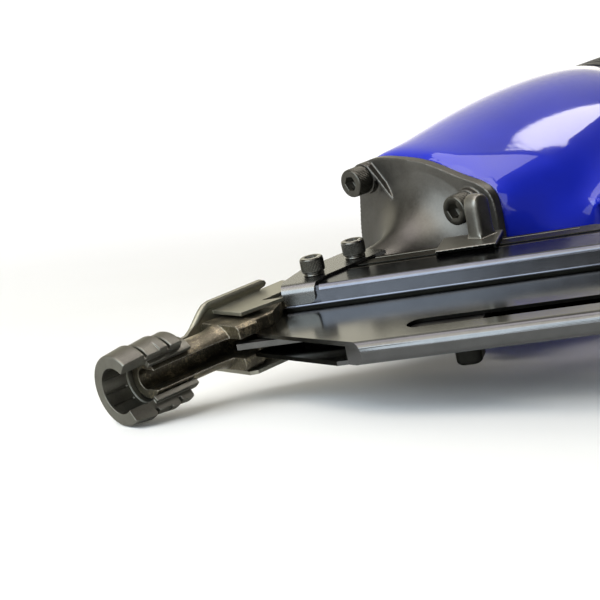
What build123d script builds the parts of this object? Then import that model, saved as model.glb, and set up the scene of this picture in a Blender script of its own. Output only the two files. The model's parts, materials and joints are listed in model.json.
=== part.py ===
from build123d import *
import math
import os

# Pneumatic framing nailer with a slotted positive-placement nose.
# Working frame of the tool (mm): x runs along the driver axis from the nose
# (x = 0, front face of the contact ring) to the cap, the handle and the
# magazine are on the -y side, z is the width of the tool (mirror plane z = 0).
# The finished pieces are laid on their side with one rigid turn at the end.

# ---------------------------------------------------------------- dimensions
MAG_ANGLE = 56.0            # magazine direction against the driver axis (a 34 degree magazine)

# contact ring
RING_RO, RING_RI = 14.44, 9.29
RING_GAP = 51.6             # half angle of the nail opening
LINER_RO, LINER_RI = 11.0, 8.65
LINER_GAP = 42.0
RING_LEN, LINER_X0, LINER_X1 = 29.0, 12.0, 33.0
CONTACT_TRAVEL = 8.5

# driver guide
TUBE_R, TUBE_BORE, TUBE_X0 = 8.25, 4.3, 14.0
SLOT_HALF = 4.0
COLLAR_X0, COLLAR_X1 = 52.0, 62.0
COLLAR_Y0, COLLAR_Y1, COLLAR_Z = -15.0, 9.5, 9.5
GUIDE_X1 = 140.0
GUIDE_Y0, GUIDE_Y1, GUIDE_Z = -13.0, 9.5, 9.0

# yoke sheet
YOKE_Z0, YOKE_Z1 = 10.6, 12.2
YOKE_Y0, YOKE_Y1, YOKE_T = -9.0, 11.8, 2.0

# feed cover
COVER_Z0, COVER_Z1 = 12.6, 14.2
COVER_X1 = 139.5
SCREW_X1, SCREW_X2, SCREW_Y = 104.1, 128.2, -5.2

# magazine, measured along the strip (t) and across it (s)
MAG_T1 = 330.0
FACE_S, RAIL_S1, SPINE_S1 = 68.0, 88.0, 104.0
RAIL_Z = 13.1
LIP_S, LIP_T = 7.7, 4.4
BLADE_Z, BLADE_T = 3.8, 1.4     # upper plate of the blade
BLADE_LOW, BLADE_LOW_T = -4.9, 1.7
BLADE_X0, BLADE_LOW_X0 = 60.0, 57.5
HEAD_S1, HEAD_Z = 79.5, 4.6
WIN_T0, WIN_T1, WIN_S0, WIN_S1 = 111.0, 304.0, 20.0, 31.0
PUSHER_TRAVEL = 160.0

# nose flange and housing
FLANGE_X0, FLANGE_X1 = 176.5, 181.0
BOLTS = [(30.5, 36.0), (30.5, -36.0), (-31.0, 23.8), (-31.0, -23.8)]
BOLT_SEAT_X = 173.3
HOUSING_X1 = 303.0
SEC_FLANGE = [(43, 0), (42.9, 8), (40.9, 18), (38.6, 28), (36.4, 36.5), (31.7, 42.4), (23.2, 44.8), (8.7, 44.4), (-4, 42.9), (-16, 39.5),
              (-28.6, 35.2), (-37.5, 32.4), (-42.5, 28.5), (-44.4, 21), (-44.3, 9), (-44, 0)]
SEC_B = [(47, 0), (46.8, 9), (45, 20), (42, 31), (37.8, 39.5), (31.5, 45.5), (22, 49), (8, 49.5), (-5, 48), (-17.5, 44.5),
         (-30.5, 39.5), (-40, 35.5), (-46, 30.5), (-49, 22), (-49.8, 10), (-49.8, 0)]
SEC_C = [(54, 0), (53.4, 11), (50.5, 23), (46, 34), (39.5, 43), (31, 50), (20, 54.3), (7, 55.5), (-7, 54.5), (-20, 51),
         (-33, 45.5), (-43.5, 39.5), (-51, 31.5), (-55.5, 22), (-57.5, 11), (-58, 0)]
SEC_D = [(57.0 * math.cos(math.pi * i / 15), 57.0 * math.sin(math.pi * i / 15)) for i in range(15)] + [(-57.0, 0)]
SEC_X = [181.0, 204.0, 235.0, 303.0]

# air motor
SLEEVE_RI, SLEEVE_RO = 23.0, 26.0
SLEEVE_X1 = 303.5
PISTON_X0, PISTON_X1, PISTON_R = 288.0, 300.0, 22.9
DRIVER_R, DRIVER_X0 = 3.3, 91.0
DRIVER_TRAVEL = 87.0
VALVE_R, VALVE_X0, VALVE_X1 = 33.9, 306.0, 318.0
HEAD_TRAVEL = 7.0
CAP_X0, CAP_X1, CAP_R = 304.0, 346.0, 57.0

# handle: axis from H0 to H1
H0 = Vector(256.0, -45.0, 0.0)
H1 = Vector(298.0, -290.0, 0.0)
HDIR = (H1 - H0).normalized()
HLEN = (H1 - H0).length

# trigger
TPIN = (224.0, -70.0)
RPIN = (233.0, -105.0)
STEM_Y = -88.0

# rafter hook
HOOK_D = HLEN - 16.0
HOOK_R, HOOK_Z = 3.5, -63.8
HOOK_LEG = Vector(0.2, 0.98, -0.06)

# rigid turn that lays the tool on its side: up direction and origin, in the working frame
LAY_UP = (0.17336932, -0.01519392, 0.98473967)
LAY_ORIGIN = (171.9249, -136.5385, -46.6926)

# ------------------------------------------------------------------- helpers


def bx(x0, x1, y0, y1, z0, z1):
    return Pos((x0 + x1) / 2, (y0 + y1) / 2, (z0 + z1) / 2) * Box(x1 - x0, y1 - y0, z1 - z0)


def cx(r, x0, x1, y=0.0, z=0.0):
    return Pos((x0 + x1) / 2, y, z) * (Rot(0, 90, 0) * Cylinder(r, x1 - x0))


def cz(r, z0, z1, x=0.0, y=0.0):
    return Pos(x, y, (z0 + z1) / 2) * Cylinder(r, z1 - z0)


def prism_z(pts, z0, z1):
    """polygon in x, y, raised from z0 to z1"""
    face = make_face(Polyline(*[(p[0], p[1], z0) for p in pts], close=True))
    return extrude(face, z1 - z0, dir=(0, 0, 1))


def prism_x(pts, x0, x1):
    """polygon in y, z, drawn out from x0 to x1"""
    face = make_face(Polyline(*[(x0, p[0], p[1]) for p in pts], close=True))
    return extrude(face, x1 - x0, dir=(1, 0, 0))


def prism_y(pts, y0, y1):
    """polygon in x, z, drawn out from y0 to y1"""
    face = make_face(Polyline(*[(p[0], y0, p[1]) for p in pts], close=True))
    return extrude(face, y1 - y0, dir=(0, 1, 0))


def turned(pts):
    """closed profile of (x, radius), turned about the x axis"""
    face = make_face(Polyline(*[(p[0], p[1], 0) for p in pts], close=True))
    return revolve(face, Axis.X, 360)


def mag(shape):
    """place a piece drawn in magazine coordinates (t, s, z)"""
    return Rot(0, 0, -MAG_ANGLE) * shape


def mag_xy(t, s):
    a = math.radians(MAG_ANGLE)
    return (math.cos(a) * t + math.sin(a) * s, -math.sin(a) * t + math.cos(a) * s)


def closed_section(x, half):
    """closed smooth outline in the plane x = const from its upper half (y, z)"""
    lower = [(y, -z) for y, z in half[-2:0:-1]]
    pts = [(x, y, z) for y, z in half + lower]
    return Wire([Spline(*pts, periodic=True).edge()])


def hex_prism(r_flat, h):
    return extrude(RegularPolygon(r_flat, 6, major_radius=False), h)


def cap_screw(r_head, h_head, r_shank, l_shank, af):
    """socket-head cap screw, seat at z = 0, head on +z"""
    head = Pos(0, 0, h_head / 2) * Cylinder(r_head, h_head)
    head = chamfer(head.edges().sort_by(Axis.Z)[-1], min(0.6, r_head * 0.1))
    head -= Pos(0, 0, h_head - h_head * 0.55) * hex_prism(af / 2, h_head)
    return head + Pos(0, 0, -l_shank / 2) * Cylinder(r_shank, l_shank)


def helix_spring(radius, wire, z0, z1, turns):
    """round-wire compression spring along z"""
    h = z1 - z0 - 2 * wire
    path = Pos(0, 0, z0 + wire) * Helix(pitch=h / turns, height=h, radius=radius)
    prof = Plane(origin=path @ 0, z_dir=path % 0) * Circle(wire)
    return sweep(prof, path=path)


def along_x(shape, x=0.0, y=0.0, z=0.0):
    """turn a piece drawn along +z so that it runs along +x"""
    return Pos(x, y, z) * (Rot(0, 90, 0) * shape)


def along_minus_x(shape, x=0.0, y=0.0, z=0.0):
    return Pos(x, y, z) * (Rot(0, -90, 0) * shape)


def hplane(d):
    """plane across the handle at distance d from its root; local x = forward-back, local y = width"""
    o = H0 + HDIR * d
    xd = Vector(HDIR.Y * -1, HDIR.X, 0) * -1 if HDIR.Y > 0 else Vector(-HDIR.Y, HDIR.X, 0)
    return Plane(origin=o, x_dir=xd, z_dir=HDIR)


def hsection(d, depth, width, n=2.6, count=20):
    """rounded-box outline across the handle"""
    pl = hplane(d)
    pts = []
    for i in range(count):
        a = 2 * math.pi * i / count
        c, s = math.cos(a), math.sin(a)
        px = depth / 2 * math.copysign(abs(c) ** (2 / n), c)
        py = width / 2 * math.copysign(abs(s) ** (2 / n), s)
        pts.append(pl.from_local_coords(Vector(px, py, 0)))
    return Wire([Spline(*pts, periodic=True).edge()])


def on_handle(shape, d):
    """place a piece drawn along +z at distance d down the handle"""
    return hplane(d).location * shape


def group(shapes):
    """several separate solids of one node"""
    out = Part()
    for one in shapes:
        out += one
    return out


NODES = {}


def node(name, shape):
    NODES[name] = shape


# ------------------------------------------------------------- contact pieces
wedge = lambda g: prism_x([(0, 0), (-40 * math.cos(math.radians(g)), 40 * math.sin(math.radians(g))),
                           (-40 * math.cos(math.radians(g)), -40 * math.sin(math.radians(g)))], -1, 40)
ring = turned([(0, RING_RI), (0, 13.7), (0.25, 14.2), (0.7, RING_RO), (9.2, 15.45), (9.9, 15.3), (10.3, 14.7), (10.5, 12.6),
               (11.7, 12.6), (11.9, 14.1), (12.3, 14.55), (20.6, 15.35), (21.4, 15.2), (21.8, 14.5),
               (21.95, 12.2), (23.05, 12.2), (23.2, 14.0), (23.6, 14.5), (27.6, 14.85), (28.5, 14.5), (RING_LEN, 13.6), (RING_LEN, RING_RI)])
ring -= wedge(RING_GAP)
liner = turned([(LINER_X0, LINER_RI), (LINER_X0, LINER_RO), (LINER_X1, LINER_RO), (LINER_X1, LINER_RI)]) - wedge(LINER_GAP)
tip = ring + liner
# flat milled on the middle segment, upper and lower
tip -= Pos(14.6, -7.57, 13.07) * (Rot(38, 0, 0) * Box(6.4, 9, 1.6))
tip -= Pos(14.6, -7.57, -13.07) * (Rot(-38, 0, 0) * Box(6.4, 9, 1.6))
# bite grooves inside the mouth
for a in (20, 55, 90, 125, 160, 195, 230, 270, 310, 345):
    if abs((a - 180 + 180) % 360 - 180) > RING_GAP + 6:
        tip -= Rot(a, 0, 0) * bx(1.2, 11.0, RING_RI - 0.6, RING_RI + 0.7, -0.45, 0.45)
node("contact_tip", tip)

web = prism_y([(LINER_X1, 0), (LINER_X1, 6.0), (44.5, 6.4), (50.5, 10.0), (57.0, 15.6), (58.5, 16.2), (87.6, 16.2), (89.4, 15.6),
               (90.0, 14.2), (89.0, 13.2), (86.0, 12.6), (85.0, YOKE_Z0), (85.0, 4.0), (82.0, 0)], YOKE_Y1 - YOKE_T, YOKE_Y1)
YOKE_PLATE = [(60, -8.3), (80.4, -11.4), (75.2, -3.3), (91.8, -3.3), (92.4, -1.5), (100, -1.5), (100, YOKE_Y1), (60, YOKE_Y1)]
yoke = web + prism_z(YOKE_PLATE, YOKE_Z0, YOKE_Z1)
node("contact_arm", yoke)

web_lo = prism_y([(LINER_X1, 0), (LINER_X1, -6.0), (50.0, -6.4), (56.5, -9.5), (63.0, -14.8), (65.0, -16.2), (84.5, -16.2), (87.0, -14.2),
                  (83.0, -YOKE_Z0), (83.0, -4.0), (80.0, 0)], YOKE_Y1 - YOKE_T, YOKE_Y1)
LINK_Z0, LINK_Z1 = -16.8, -14.8
link = web_lo + prism_z([(54.8, YOKE_Y1), (54.8, -12.5), (57.2, -15.0), (73.5, -15.0), (80.0, YOKE_Y0), (100, YOKE_Y0), (100, YOKE_Y1)], -YOKE_Z1, -YOKE_Z0)
link += bx(98, 100, -3, 7, -19.5, -YOKE_Z0)
link += bx(86, 90, YOKE_Y0, 0, LINK_Z0, -YOKE_Z0)
link += prism_z([(86, 0), (86, -12), (128, -68), (136, -71), (204.5, -77), (204.5, -67), (140, -61), (134, -59), (93, 0)], LINK_Z0, LINK_Z1)
link += bx(202.5, 204.5, -77, -67, LINK_Z0, -3)
node("contact_link", link)
node("contact_spring", along_x(helix_spring(3.0, 0.6, 0, 39.4, 9), 100.3, 2.0, -15.4))

# ---------------------------------------------------------------- nose pieces
guide = cx(TUBE_R, TUBE_X0, 60)
collar = bx(COLLAR_X0, COLLAR_X1, COLLAR_Y0, COLLAR_Y1, -COLLAR_Z, COLLAR_Z)
collar = chamfer(collar.edges().filter_by(Axis.X), 1.6)
guide += collar
guide += turned([(45.5, 0), (45.5, TUBE_R), (49.5, 8.7), (COLLAR_X0, 9.4), (COLLAR_X0, 0)])
rail_block = bx(COLLAR_X1, GUIDE_X1, GUIDE_Y0, GUIDE_Y1, -GUIDE_Z, GUIDE_Z)
rail_block = fillet(rail_block.edges().filter_by(Axis.X), 1.4)
guide += rail_block
guide += bx(113, GUIDE_X1 - 0.5, -11.5, 8, GUIDE_Z - 2, COVER_Z0)
guide -= cx(TUBE_BORE, 0, GUIDE_X1 + 1)
guide -= bx(0, COLLAR_X1, -20, 0, -SLOT_HALF, SLOT_HALF)
guide -= bx(COLLAR_X1 - 1, 92, -20, 0, -2.9, 2.9)
guide -= mag(bx(49, 80, 66.0, HEAD_S1, -HEAD_Z, HEAD_Z)) & bx(0, 140, -30, 0, -6, 6)
guide -= mag(bx(51.2, 95, 20, FACE_S + 2.0, -20, 20))
for x in (SCREW_X1, SCREW_X2):
    guide -= cz(3.0, 5.4, 13, x, SCREW_Y)
node("driver_guide", guide)

flange = extrude(Face(closed_section(FLANGE_X0, SEC_FLANGE)), FLANGE_X1 - FLANGE_X0, dir=(1, 0, 0))
# neck that flares into the plate
flare = Spline((GUIDE_X1, 13.4, 0), (150, 14.1, 0), (158, 16.0, 0), (164.5, 19.4, 0), (170, 24.2, 0), (174, 30.4, 0), (176.4, 38.0, 0), tangents=[(1, 0.02, 0), (0.2, 1, 0)])
close = Polyline((176.4, 38.0, 0), (FLANGE_X1 - 1, 38.0, 0), (FLANGE_X1 - 1, 0, 0), (GUIDE_X1, 0, 0), (GUIDE_X1, 13.4, 0))
neck = revolve(make_face([flare, close]), Axis.X, 360)
flange += neck & extrude(Face(closed_section(GUIDE_X1 - 1, SEC_FLANGE)), 60, dir=(1, 0, 0))
# rib from the upper screw boss to the neck, on both sides of the middle plane
for k in (1, -1):
    flange += prism_x([(27.6, k * 41.6), (26.2, k * 42.6), (13.4, k * 26.4), (14.8, k * 25.4)], 173.6, FLANGE_X1 - 2)
for y, z in BOLTS:
    flange += cx(7.2, BOLT_SEAT_X, FLANGE_X1, y, z)
    flange -= cx(7.0, 150, BOLT_SEAT_X, y, z)
    flange -= cx(4.05, 150, 190, y, z)
flange += bx(GUIDE_X1, 150, -4, 8, -20, -8)
flange -= cx(TUBE_BORE, 100, 200)
node("nose_flange", flange)

bolts = []
for y, z in BOLTS:
    bolts.append(along_minus_x(cap_screw(6.5, 8.0, 4.0, 24.0, 6.0), BOLT_SEAT_X, y, z))
node("nose_bolts", group(bolts))

cov_a = mag_xy(51.5, FACE_S)
cov_b = mag_xy(65.4, FACE_S)
cover = prism_z([cov_a, (92.5, 1.8), (108, 8.0), (COVER_X1, 8.0), (COVER_X1, -12.3), (105, -12.3), cov_b], COVER_Z0, COVER_Z1)
skirt = bx(51.5, 65.4, FACE_S, FACE_S + 1.6, 6.1, COVER_Z1)
skirt = fillet(skirt.edges().filter_by(Axis.Y).sort_by(Axis.Z)[:2], 2.0)
cover += mag(skirt)
BEND = 2.3
cover -= mag(bx(48, 68, FACE_S - 1, FACE_S + BEND, COVER_Z1 - BEND, COVER_Z1 + 1) - Pos(58, FACE_S + BEND, COVER_Z1 - BEND) * (Rot(0, 90, 0) * Cylinder(BEND, 40)))
for x in (SCREW_X1, SCREW_X2):
    cover -= cz(3.2, COVER_Z0 - 1, COVER_Z1 + 1, x, SCREW_Y)
node("feed_cover", cover)

scr, wsh = [], []
for x in (SCREW_X1, SCREW_X2):
    scr.append(Pos(x, SCREW_Y, COVER_Z1 + 1.6) * cap_screw(5.0, 6.0, 2.98, 10.0, 5.0))
    w = cz(5.0, COVER_Z1, COVER_Z1 + 1.6, x, SCREW_Y) - cz(3.1, COVER_Z1 - 1, COVER_Z1 + 3, x, SCREW_Y)
    w -= Pos(x - 4, SCREW_Y - 1.2, COVER_Z1 + 0.8) * (Rot(0, 0, 17) * (Rot(30, 0, 0) * Box(4, 0.7, 4)))
    wsh.append(w)
node("feed_cover_screws", group(scr))
node("feed_cover_washers", group(wsh))

# ------------------------------------------------------------------- magazine
nose_side = bx(-50, 600, -13.3, 400, -100, 100)
rail = fillet(bx(40, MAG_T1, FACE_S, RAIL_S1, -RAIL_Z, RAIL_Z).edges().filter_by(Axis.X).sort_by(Axis.Y)[:2], 2.4)
rail -= bx(0, 400, FACE_S - 3, HEAD_S1, -HEAD_Z, HEAD_Z)
mouth = [e for e in rail.edges().filter_by(Axis.X) if abs(e.center().Y - FACE_S) < 0.01 and abs(abs(e.center().Z) - HEAD_Z) < 0.01]
rail = mag(fillet(mouth, 0.7)) - (nose_side - mag(bx(51.6, 80, FACE_S, FACE_S + 1.8, -5.8, 5.8)))
rail -= mag(bx(30, 67.6, FACE_S - 1, FACE_S + 1.7, 5.8, 20))
rail -= prism_z([mag_xy(48, FACE_S - 3), (92, 10), (150, 10), (150, -12.8), (105.5, -12.8), mag_xy(66.5, FACE_S - 3)], COVER_Z0 - 0.05, 30)
rail -= mag(cz(3.05, -30, 30, 313, 83.5))
node("magazine_rail", rail)

spine = mag(prism_z([(40, RAIL_S1), (40, SPINE_S1), (178, SPINE_S1), (200, RAIL_S1)], -RAIL_Z, RAIL_Z)) - nose_side
spine -= prism_z([(60, 10), (150, 10), (150, -12.8), (105.5, -12.8), (60, -12.8)], COVER_Z0 - 0.05, 30)
for z in (1, -1):
    spine -= mag(bx(30, 196, 91.0, 93.2, z * RAIL_Z - 1.6, z * RAIL_Z + 1.6))
    spine -= mag(bx(30, 172, 100.4, 101.6, z * RAIL_Z - 1.2, z * RAIL_Z + 1.2))
node("magazine_spine", spine)

blade = bx(-40, MAG_T1, LIP_S, FACE_S, BLADE_LOW, BLADE_Z)
blade = fillet(blade.edges().filter_by(Axis.X).sort_by(Axis.Y)[:2], 2.4)
# both plates reach into the rail groove, the upper one with a raised edge
blade += bx(52, MAG_T1, FACE_S - 1, FACE_S + 1.7, -HEAD_Z + 0.05, BLADE_Z)
blade += bx(52, MAG_T1, FACE_S + 1.0, FACE_S + 1.7, 0, HEAD_Z - 0.05)
blade -= bx(-50, 400, LIP_S + LIP_T, FACE_S + 5, BLADE_LOW + BLADE_LOW_T, BLADE_Z - BLADE_T)
win = bx(WIN_T0 + 5.5, WIN_T1 - 5.5, WIN_S0, WIN_S1, -10, 10) + cz(5.5, -10, 10, WIN_T0 + 5.5, 25.5) + cz(5.5, -10, 10, WIN_T1 - 5.5, 25.5)
blade -= win
blade = mag(blade) - bx(-200, BLADE_LOW_X0, -400, 400, -50, 50) - (bx(-200, 600, -15.4, 400, -50, 50) - mag(bx(51.6, 400, 0, 95, -60, 60)))
# the upper plate and the lip stop a little behind the lower plate
blade -= bx(-200, BLADE_X0, -400, 400, BLADE_LOW + BLADE_LOW_T, 50)
blade -= mag(bx(-50, 100, 0, LIP_S + LIP_T, -20, 20)) & bx(-200, BLADE_X0, -400, 400, -50, 50)
node("magazine_blade", blade)

end_cap = bx(MAG_T1, MAG_T1 + 8, 6.0, 90.0, -14.6, 14.6)
end_cap = fillet(end_cap.edges().filter_by(Axis.X), 3.0)
end_cap -= bx(MAG_T1 + 3, MAG_T1 + 9, 16, 60, -2.9, 2.9)
node("magazine_end_cap", mag(end_cap))

foot = mag(bx(114, 139.5, 86.0, 108.0, RAIL_Z, RAIL_Z + 2.6) - bx(115.2, 138.3, 85.0, 92.0, RAIL_Z - 1, RAIL_Z + 1.7))
tab = bx(153.1, 162.5, -56.0, -48.2, RAIL_Z, 29.3) + Pos(157.8, -52.1, 29.3) * (Rot(90, 0, 0) * Cylinder(4.7, 7.8))
bracket = foot + tab
node("magazine_bracket", bracket)

# nail pusher, its finger reaches into the nose slot
pz = 2.05
pusher = mag(bx(62, 140, 12.5, 70.0, -pz, pz)) - bx(-200, 77.0, -400, 400, -50, 50) - bx(-200, 600, -17.0, 400, -50, 50)
pusher += mag(bx(39.0, 90, 35.6, 39.6, -0.5, 1.9))
pusher += mag(bx(92, 140, 69.0, 78.6, -pz, pz)) + mag(bx(92, 140, 70.4, 78.6, -3.5, 3.5))
pusher -= mag(cz(9.2, -5, 5, 122, 50))
node("pusher", pusher)
knob = mag(bx(129, 137, 21.6, 29.4, -7.0, -pz))
kbody = bx(128.0, 138.0, 18.5, 32.5, -13.4, -5.4)
kbody = fillet(kbody.edges().filter_by(Axis.Z), 3.6)
kbody = fillet(kbody.faces().sort_by(Axis.Z)[0].edges(), 1.8)
node("pusher_knob", knob + mag(kbody))
coil = cz(8.6, -1.9, 1.9, 122, 50) - cz(4.4, -3, 3, 122, 50)
node("pusher_spring", mag(coil))

# -------------------------------------------------------------------- housing
body = Solid.make_loft([closed_section(x, s) for x, s in zip(SEC_X, (SEC_FLANGE, SEC_B, SEC_C, SEC_D))])
body = Part(body.wrapped)
handle = Part(Solid.make_loft([hsection(-22, 76, 62), hsection(18, 64, 50), hsection(45, 48, 41), hsection(75, 42, 36.5),
                               hsection(140, 41, 35), hsection(200, 41.5, 36), hsection(232, 45, 40), hsection(HLEN, 46, 41)]).wrapped)
ears = Part()
for z in (10.4, -13.4):
    ears += prism_z([(224, -56), (218, -71), (219.5, -77.5), (258, -77.5), (258, -52), (226, -52)], z, z + 3.0)
boss = bx(248, 274, -100, -72, -12, 12)


def oval(x, yc, ry, rz):
    pts = [(x, yc + ry * math.cos(2 * math.pi * i / 16), rz * math.sin(2 * math.pi * i / 16)) for i in range(16)]
    return Wire([Spline(*pts, periodic=True).edge()])


# fairing in front of the handle root
fairing = Part(Solid.make_loft([oval(186, -36, 4, 5), oval(200, -43, 10, 13), oval(214, -47, 13.5, 17), oval(236, -50, 16, 20), oval(256, -52, 17, 21)]).wrapped)
housing = body + handle + fairing + ears + boss
shrink = lambda sec, k: [(y * k, z * k) for y, z in sec]
room = Part(Solid.make_loft([closed_section(x, s) for x, s in ((189, shrink(SEC_FLANGE, 0.88)), (206, shrink(SEC_B, 0.88)), (235, shrink(SEC_C, 0.895)), (306, shrink(SEC_D, 0.895)))]).wrapped)
for y, z in BOLTS:
    room -= cx(8.5, 180, 202, y, z)
for i in range(4):
    a = math.radians(45 + 90 * i)
    room -= cx(8.0, 284, 310, 50.5 * math.cos(a), 50.5 * math.sin(a))
room -= cx(80, 256, 261) - cx(SLEEVE_RO + 0.05, 250, 270)
room -= bx(225, 274, -110, -50, -18, 18)
housing -= room
housing -= cx(SLEEVE_RO + 0.05, 170, 195)
housing -= on_handle(Pos(0, 0, 48) * Cylinder(12.0, 76), 0)
housing -= Part(Solid.make_loft([hsection(80, 31, 26), hsection(140, 31, 26), hsection(205, 32, 27)]).wrapped)
housing -= on_handle(Pos(0, 0, 220) * Cylinder(5.5, 80), 0)
housing -= cx(9.05, 247, 275, STEM_Y, 0)
housing -= bx(214, 247.9, -120, -64.5, -10.4, 10.4)
housing -= cz(2.0, -20, 20, *TPIN)
for y, z in BOLTS:
    housing -= cx(4.02, 175, 199, y, z)
for i in range(4):
    a = math.radians(45 + 90 * i)
    housing -= cx(3.02, 288, 320, 50.5 * math.cos(a), 50.5 * math.sin(a))
hp = H0 + HDIR * HOOK_D
housing -= cz(HOOK_R + 0.05, -40, -9.2, hp.X, hp.Y)
node("housing", housing)

# ----------------------------------------------------------------- air motor
node("cylinder_sleeve", cx(SLEEVE_RO, FLANGE_X1, SLEEVE_X1) - cx(SLEEVE_RI, FLANGE_X1 - 1, SLEEVE_X1 + 1) - cx(27, 270, 273) + cx(24.6, 270, 273) - cx(SLEEVE_RI, 260, 280)
     - sum([Rot(45 * i, 0, 0) * cz(2.0, 15, 40, 225, 0) for i in range(8)], Part()))
node("sleeve_seal", cx(27.3, 270.2, 272.8) - cx(24.65, 260, 280))
bump = turned([(FLANGE_X1, 9), (FLANGE_X1, 22.9), (193, 22.9), (199, 19.5), (199, 9)])
node("bumper", bump)
pist = cx(PISTON_R, PISTON_X0, PISTON_X1) - (cx(30, 292.5, 295.5) - cx(20.5, 292, 296)) - cx(3.05, PISTON_X0 - 1, PISTON_X0 + 9)
pist -= cx(16, 296.6, PISTON_X1 + 1) - cx(8, 290, 310)
node("piston", pist)
node("piston_ring", cx(22.95, 292.55, 295.45) - cx(20.55, 290, 300))
drv = cx(DRIVER_R, DRIVER_X0, PISTON_X0) + cx(3.0, PISTON_X0, PISTON_X0 + 8.5)
drv = chamfer(drv.edges().filter_by(GeomType.CIRCLE).sort_by(Axis.X)[0], 0.4)
node("driver_blade", drv)

hv = turned([(VALVE_X0, 14.0), (VALVE_X0, VALVE_R), (VALVE_X1, VALVE_R), (VALVE_X1, 30.0), (312, 30.0), (312, 20.0), (VALVE_X1, 20.0), (VALVE_X1, 14.0)])
node("head_valve", hv)
node("head_valve_seal", turned([(303.85, 22.4), (303.85, 28.0), (VALVE_X0, 29.0), (VALVE_X0, 21.4)]))
node("head_valve_spring", along_x(helix_spring(25.0, 1.1, 0, 17.6, 4), 312.2))
cap = turned([(CAP_X0, 34.0), (CAP_X0, CAP_R), (326, CAP_R), (333, 54.5), (339, 49), (343.5, 41.5), (CAP_X1, 34), (CAP_X1, 0), (313, 0), (313, 12.0), (330, 12.0), (330, 34.0)])
for i in range(4):
    a = math.radians(45 + 90 * i)
    cap -= cx(5.6, 326, 350, 50.5 * math.cos(a), 50.5 * math.sin(a))
    cap -= cx(3.2, 300, 330, 50.5 * math.cos(a), 50.5 * math.sin(a))
    b = math.radians(90 * i)
    cap -= cx(4.5, 325, 350, 22 * math.cos(b), 22 * math.sin(b))
# hollow between the valve wall and the outer wall, left solid around the screws
pocket = cx(52.5, CAP_X0 - 1, 328) - cx(38.0, CAP_X0 - 2, 340)
for i in range(4):
    a = math.radians(45 + 90 * i)
    pocket -= cx(8.0, CAP_X0 - 2, 340, 50.5 * math.cos(a), 50.5 * math.sin(a))
cap -= pocket
# cooling ribs around the cap
for x in (309, 314, 319):
    cap -= cx(70, x, x + 1.6) - cx(CAP_R - 1.4, x - 1, x + 3)
cap -= cx(3.02, 330, 350)
node("cylinder_cap", cap)
gas = cx(CAP_R - 0.6, HOUSING_X1, CAP_X0) - cx(52.2, 300, 310)
for i in range(4):
    a = math.radians(45 + 90 * i)
    gas += cx(7.6, HOUSING_X1, CAP_X0, 50.5 * math.cos(a), 50.5 * math.sin(a)) & cx(CAP_R - 0.6, 300, 310)
for i in range(4):
    a = math.radians(45 + 90 * i)
    gas -= cx(3.2, 300, 310, 50.5 * math.cos(a), 50.5 * math.sin(a))
node("cap_gasket", gas)
caps = []
for i in range(4):
    a = math.radians(45 + 90 * i)
    caps.append(along_x(cap_screw(5.0, 6.0, 3.0, 34.0, 5.0), 326, 50.5 * math.cos(a), 50.5 * math.sin(a)))
node("cap_screws", group(caps))
stop = turned([(300.5, 4.0), (300.5, 10.5), (302, 12.0), (313, 12.0), (313, 4.0)])
stop = cx(12.0, 301, 313) + cx(10.5, 300.6, 301)
node("piston_stop", stop)

defl = turned([(346.4, 33.5), (347.2, 34.0), (353, 34.0), (356.5, 31.0), (357.2, 26.0), (357.2, 4.05), (346.4, 4.05), (346.4, 9.0), (353.6, 9.0), (353.6, 29.5), (346.4, 29.5)])
defl -= bx(346.8, 352.6, -17, 17, 20, 40)
defl -= cx(6.0, 354.0, 360)
node("exhaust_deflector", defl)
dscr = cx(4.0, CAP_X1, 353.9) + cx(3.0, 332, CAP_X1) + cx(5.4, 353.9 + 0.3, 357.2) + cx(4.0, 353.5, 354.5)
dscr -= along_x(hex_prism(2.5, 6), 354.6)
node("deflector_screw", dscr)

# -------------------------------------------------------------------- trigger
AHEAD = Pos(12, 0, 0)
tprof = [(208.5, -66), (216, -66), (224, -74), (226, -90), (225, -106), (219.5, -112), (214, -111), (215.6, -104), (216.2, -97), (215.2, -89), (212.4, -81), (208.5, -75)]
trig = AHEAD * prism_z(tprof, -9.8, 9.8)
trig -= AHEAD * prism_z([(213.5, -60), (231, -60), (231, -115), (223.5, -109), (218.8, -107), (218.0, -103), (218.4, -96), (217.5, -88), (214.5, -78), (212.8, -76)], -7.3, 7.3)
trig -= cz(4.6, -7.3, 7.3, *TPIN)
trig -= cz(2.06, -20, 20, *TPIN)
trig -= cz(1.5, -20, 20, *RPIN)
trig = fillet(trig.edges().filter_by(Axis.Z).sort_by(Axis.Y)[0], 1.0)
node("trigger", trig)
node("trigger_pin", cz(2.0, -13.4, 13.4, *TPIN))
node("trigger_spring", Pos(TPIN[0], TPIN[1], 0) * helix_spring(3.2, 0.5, -5.0, 5.0, 7))
node("rocker_pin", cz(1.5, -9.7, 9.7, *RPIN))
rock = AHEAD * prism_z([(219.6, -106.6), (222.4, -107), (224, -104), (224, -80), (222.5, -78), (220.8, -78), (220.8, -82), (221.6, -84), (221.6, -100), (219.4, -103)], -5.5, 5.5)
rock -= cz(1.56, -20, 20, *RPIN)
node("trigger_rocker", rock)
vb = cx(9.0, 248, 274, STEM_Y, 0) - cx(3.4, 252, 277, STEM_Y, 0) - cx(2.26, 242, 257, STEM_Y, 0)
for x in (255, 267):
    vb -= cx(12, x, x + 2.4, STEM_Y, 0) - cx(7.5, x - 1, x + 4, STEM_Y, 0)
node("valve_body", vb)
vs = [cx(9.0, x + 0.1, x + 2.3, STEM_Y, 0) - cx(7.55, x - 1, x + 4, STEM_Y, 0) for x in (255, 267)]
node("valve_orings", group(vs))
stem = cx(2.2, 240, 262, STEM_Y, 0) + cx(3.1, 257, 260, STEM_Y, 0)
stem = fillet(stem.edges().filter_by(GeomType.CIRCLE).sort_by(Axis.X)[0], 0.8)
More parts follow.
